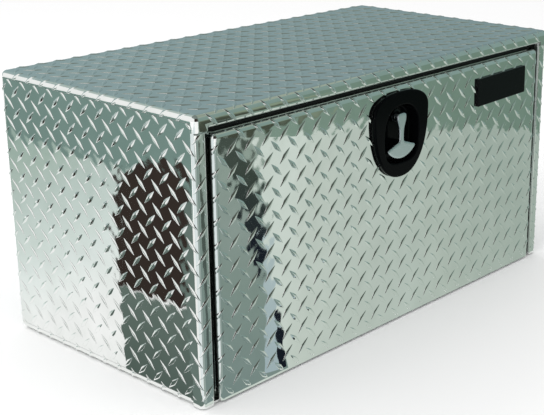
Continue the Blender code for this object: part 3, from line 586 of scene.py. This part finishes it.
world = bpy.data.worlds.new("studio")
bpy.context.scene.world = world
world.use_nodes = True
tree = world.node_tree
tree.nodes.clear()
rays = add(tree, "LightPath")
seen = add(tree, "Math", {"operation": "MAXIMUM"},
           links={0: rays.outputs["Is Camera Ray"], 1: rays.outputs["Is Glossy Ray"]})
seen = add(tree, "Math", {"operation": "MAXIMUM"},
           links={0: seen.outputs[0], 1: rays.outputs["Is Transmission Ray"]})
LIT_STRENGTH, SEEN_STRENGTH = 0.92, 1.0     # of the white that lights the box, and of the white that is seen
soft = add(tree, "Background", inputs={"Color": (1, 1, 1, 1), "Strength": LIT_STRENGTH})
white = add(tree, "Background", inputs={"Color": (1, 1, 1, 1), "Strength": SEEN_STRENGTH})
both = add(tree, "MixShader", links={0: seen.outputs[0], 1: soft.outputs[0], 2: white.outputs[0]})
add(tree, "OutputWorld", links={"Surface": both.outputs[0]})


def stage_sheet(name, corners, material):
    """A flat sheet that is part of the stage and not of the box."""
    mesh = bpy.data.meshes.new(name)
    mesh.from_pydata(corners, [], [list(range(len(corners)))])
    mesh.materials.append(material)
    piece = new_piece(name, mesh)
    return piece


# Seamless white paper: matt, so that it takes the box's soft shadow and no gloss.
floor_paper, tree, shader = new_material("studio_floor_paper")
shader.inputs["Base Color"].default_value = linear("#FFFFFF")
shader.inputs["Roughness"].default_value = 0.9
shader.inputs["Specular IOR Level"].default_value = 0.0
FLOOR_HALF, FLOOR_DROP = 14, 0.002          # the lugs under the tray reach a little below the box's zero
floor = stage_sheet("studio_floor", [(-FLOOR_HALF, -FLOOR_HALF, 0), (FLOOR_HALF, -FLOOR_HALF, 0),
                                     (FLOOR_HALF, FLOOR_HALF, 0), (-FLOOR_HALF, FLOOR_HALF, 0)], floor_paper)
floor.location.z = -FLOOR_DROP


def card(name, stops, corners, along=(1, 0)):
    """A glowing card that only shows in mirrors: a painted reflection, no lamp. stops are (metres along the
    direction, colour).
    """
    material = bpy.data.materials.new(name)
    material.use_nodes = True
    tree = material.node_tree
    tree.nodes.clear()
    start, end = stops[0][0], stops[-1][0]
    place = add(tree, "VectorMath", {"operation": "DOT_PRODUCT"}, {1: (along[0], along[1], 0)},
                {0: add(tree, "TexCoord").outputs["Object"]})
    span = add(tree, "MapRange", inputs={"From Min": start, "From Max": end},
               links={"Value": place.outputs["Value"]})
    ramp = add(tree, "ValToRGB", links={"Fac": span.outputs["Result"]})
    elements = ramp.color_ramp.elements
    while len(elements) < len(stops):
        elements.new(0.5)
    for element, (metres, shade) in zip(elements, stops):
        element.position = (metres - start) / (end - start)
        element.color = linear(shade)
    glow = add(tree, "Emission", links={"Color": ramp.outputs["Color"]})
    add(tree, "OutputMaterial", links={"Surface": glow.outputs[0]})
    piece = stage_sheet(name, corners, material)
    piece.visible_camera = piece.visible_diffuse = piece.visible_shadow = piece.visible_transmission = False


def floor_card(name, stops, z, corners, along=(1, 0)):
    """A card that lies at height z. Where cards overlap, the higher one shows."""
    card(name, stops, [(x, y, z) for x, y in corners], along)


# Painted reflections left of the box, as the left sheet shows them: pale paper that dims towards the back,
# grey-green beyond it, and a dark brown card on a grey strip that ends near the box's corner.
floor_card("card_left_paper",
           [(-1.9, "#93A89F"), (-1.25, "#A5B9B0"), (-1.08, "#B2C4BB"), (-0.93, "#BECDC7"),
            (-0.80, "#C9D7D2"), (-0.675, "#D4E0DC"), (-0.56, "#DDE8E4"), (-0.46, "#E7EFED"),
            (-0.38, "#F1F7F5"), (-0.30, "#F9FCFB"), (-0.22, "#FFFFFF"), (0.25, "#FFFFFF")],
           0.0, [(-1.25, -1.2), (-0.458, -1.2), (-0.458, 1.9), (-1.25, 1.9)], (0, -1))
floor_card("card_left_carpet", [(-2.3, "#7D9690"), (-1.187, "#7A928C")],
           0.001, [(-2.3, 0.1), (-1.187, 0.1), (-1.187, 2.4), (-2.3, 2.8)])
floor_card("card_left_strip", [(-1.3, "#6C7C76"), (-0.46, "#6C7C76")],
           0.001, [(-1.216, 0.678), (-1.216, 0.50), (-0.463, -0.272), (-0.463, -0.195), (-0.697, 0.082)])
floor_card("card_left_brown", [(-1.33, "#3A322E"), (-0.69, "#362E2A")],
           0.002, [(-0.94, 0.591), (-1.153, 0.843), (-1.26, 0.877), (-1.322, 0.793), (-1.216, 0.65),
                   (-0.914, 0.328), (-0.697, 0.082), (-0.688, 0.261)])
floor_card("card_left_low", [(-0.7, "#67766F"), (-0.46, "#56645E")],
           0.002, [(-0.688, 0.261), (-0.688, 0.071), (-0.468, -0.197), (-0.468, -0.034)])

# Painted reflections in front, as the door shows them: the same paper, a green card beyond it, a grey-green
# one at the left, and on that a dark band that ends halfway down, with a painted pale blue glint streak and
# a dark edge below it.
floor_card("card_front_paper",
           [(-0.40, "#D6E0D9"), (-0.341, "#CCD6CE"), (-0.274, "#C4CFC7"), (-0.208, "#C0CBC3"),
            (-0.142, "#BECAC2"), (-0.076, "#B9C5BC"), (-0.01, "#B2BFB6"), (0.057, "#AEBBB2"),
            (0.12, "#A9B7AE")],
           0.0, [(-0.52, -0.236), (-0.1, -1.6), (3.0, -1.6), (3.0, -0.236)], (0.663, 0.749))
floor_card("card_front_far", [(0.68, "#869D90"), (1.3, "#768D80")],
           0.001, [(0.3, -4.3), (0.3, -1.30), (0.684, -1.296), (0.836, -1.282), (1.057, -1.189),
                   (1.088, -0.997), (1.209, -0.902), (1.272, -0.758), (1.303, -0.684), (4.3, -0.684),
                   (4.3, -4.3)])
floor_card("card_front_mat", [(-0.47, "#7E908E"), (-0.1, "#84968F"), (0.15, "#909F99"), (0.6, "#95A59B")],
           0.002, [(-0.40, -1.75), (1.13, -1.75), (0.668, -1.248), (0.515, -1.095), (0.340, -0.908),
                   (0.184, -0.733), (-0.036, -0.506), (-0.125, -0.413), (-0.269, -0.24), (-0.47, -0.24)])
floor_card("card_front_dark", [(-0.3, "#161B24"), (0.1, "#1B2129"), (0.45, "#3F4943"), (0.6, "#48524B")],
           0.003, [(0.672, -1.415), (0.742, -1.415), (0.704, -1.372), (0.575, -1.202), (0.502, -1.095),
                   (0.412, -0.997), (0.188, -0.753), (0.055, -0.62), (-0.020, -0.550), (-0.031, -0.550),
                   (0.0245, -0.62), (0.142, -0.753), (0.337, -0.997), (0.420, -1.095), (0.494, -1.202),
                   (0.633, -1.372)])
floor_card("card_front_edge", [(-0.3, "#161B24"), (-0.1, "#1B2129")],
           0.003, [(-0.114, -0.413), (-0.158, -0.362), (-0.221, -0.296), (-0.269, -0.244), (-0.284, -0.244),
                   (-0.239, -0.296), (-0.172, -0.362), (-0.123, -0.413)])
floor_card("card_front_glint", [(-0.31, "#A9BBC1"), (0.19, "#B9C9CB")],
           0.0035, [(0.168, -0.733), (0.184, -0.733), (-0.036, -0.506), (-0.123, -0.413), (-0.172, -0.362),
                    (-0.239, -0.296), (-0.284, -0.244), (-0.312, -0.251), (-0.200, -0.362),
                    (-0.0545, -0.506)])

# Painted reflections that only the corner bends, the stile and the header see: darker patches beside a bright
# wedge.
floor_card("card_corner_left", [(-2.2, "#E9F1F3"), (-0.46, "#EDF4F6")],
           0.003, [(-0.465, -0.240), (-2.2, -0.240), (-2.2, -1.60), (-1.25, -1.60)])
floor_card("card_corner_right", [(-1.2, "#A9B5B1"), (-0.36, "#9CAAA6")],
           0.003, [(-0.458, -0.240), (-1.25, -1.60), (-0.36, -1.60), (-0.436, -0.245)])
floor_card("card_stile", [(-0.37, "#55625F"), (0.2, "#4D5750"), (0.64, "#474E45")],
           0.004, [(-0.374, -0.322), (-0.314, -0.391), (-0.134, -0.601), (0.110, -0.883), (0.265, -1.065),
                   (0.455, -1.286), (0.590, -1.442), (0.640, -1.442), (0.500, -1.286), (0.304, -1.065),
                   (0.142, -0.883), (-0.110, -0.601), (-0.298, -0.391), (-0.360, -0.322)])
floor_card("card_header", [(0.50, "#3B4037"), (0.95, "#4C5347"), (1.2, "#8B9A86")],
           0.004, [(0.56, -1.425), (1.16, -1.425), (1.80, -2.60), (0.90, -2.60)])

# Right of the box and behind it, painted reflections: paper again, with a darker strip far out.
floor_card("card_right_paper", [(0.46, "#F2F5F4"), (1.2, "#B8C4BD")],
           0.0, [(0.46, -0.2), (1.25, -0.2), (1.25, 1.6), (0.46, 1.6)])
floor_card("card_right_far", [(1.2, "#75857D"), (2.4, "#6B7C78")],
           0.001, [(1.2, -0.2), (2.6, -0.4), (2.6, 2.2), (1.2, 1.9)])
floor_card("card_back_paper", [(-1.5, "#E6ECEA"), (1.5, "#BAC6BE")],
           0.0, [(-0.45, 0.25), (1.8, 0.25), (1.8, 1.3), (-0.45, 1.3)])
floor_card("card_back_far", [(-2.0, "#7D8E87"), (2.0, "#6E7F7A")],
           0.0005, [(-0.45, 1.1), (2.2, 1.0), (2.4, 2.4), (-0.45, 2.4)])

# The room itself, as painted reflections: blue-grey walls to the right and behind, a dim wall behind the
# camera and a grey ceiling that is paler towards the right and the back. The left is open to the white
# surroundings.
WALL_DISTANCE, WALL_HALF_ANGLE = 4.2, 20
WALLS = [(-60, ("#7C8F85", "#88A09A"), 4.4), (-20, ("#88A09A", "#889F9E"), 4.4),
         (20, ("#7A8F91", "#869B9E"), 4.4), (60, ("#869B9E", "#97ADAF"), 4.0),
         (95, ("#95ABAD", "#A8BAB9"), 3.2), (240, ("#2F2A26", "#3A3530"), 4.4),
         (280, ("#3A3530", "#6B776E"), 4.4)]         # the way it stands in degrees, its colours, its height
for k, (turn, colours, high) in enumerate(WALLS):
    ends = [(WALL_DISTANCE * math.cos(math.radians(angle)), WALL_DISTANCE * math.sin(math.radians(angle)))
            for angle in (turn - WALL_HALF_ANGLE, turn + WALL_HALF_ANGLE)]
    stops = sorted((x, colour) for (x, y), colour in zip(ends, colours))
    foot = [(x, y, 0.0) for x, y in ends]
    head = [(x, y, high) for x, y in ends]
    card("card_wall_%d" % k, stops, foot + head[::-1])

CEILING = 4.0
card("card_ceiling", [(-3.4, "#8A9490"), (1.6, "#76827D"), (2.9, "#9FAB9D"), (5.0, "#ABB6A8")],
     [(x, y, CEILING) for x, y in ((-3.4, -4.6), (5, -4.6), (5, 2.2), (-2.2, 2.2), (-3.4, 1.2))])
card("card_ceiling_back", [(-1.9, "#C3CFCA"), (3.0, "#93A8A4")],
     [(x, y, CEILING) for x, y in ((-1.9, 2.2), (4.5, 2.2), (4.5, 5.4), (-1.9, 5.4))])


def soft_lamp(name, place, size, power):
    """A soft box of this size that looks at the middle of the tool box. The metal doesn't mirror it."""
    lamp = bpy.data.lights.new(name, "AREA")
    lamp.shape, lamp.size, lamp.size_y, lamp.energy = "RECTANGLE", size[0], size[1], power
    holder = new_piece(name, lamp)
    holder.location = place
    holder.rotation_euler = (Vector((0, 0, 0.2)) - Vector(place)).to_track_quat("-Z", "Y").to_euler()
    holder.visible_glossy = False


soft_lamp("lamp_key", (-2.7, -0.8, 3.0), (1.3, 1.3), 30)
soft_lamp("lamp_fill", (-0.7, 2.5, 3.3), (1.6, 1.2), 15)


# Camera: in front of the box and to its left, 0.87 m up, looking 17.5 degrees down. The small shift is the
# photo's own framing.

lens = bpy.data.cameras.new("camera")
lens.sensor_width, lens.lens = 36.0, 80.2
lens.shift_x, lens.shift_y = -0.12706, -0.03688
VIEW = Vector((0.71445, 0.63172, -0.30082))
camera = new_piece("camera", lens)
camera.location = (-1.5494, -1.4733, 0.871)
camera.rotation_euler = VIEW.to_track_quat("-Z", "Y").to_euler()
bpy.context.scene.camera = camera
bpy.context.scene.view_settings.view_transform = "Standard"
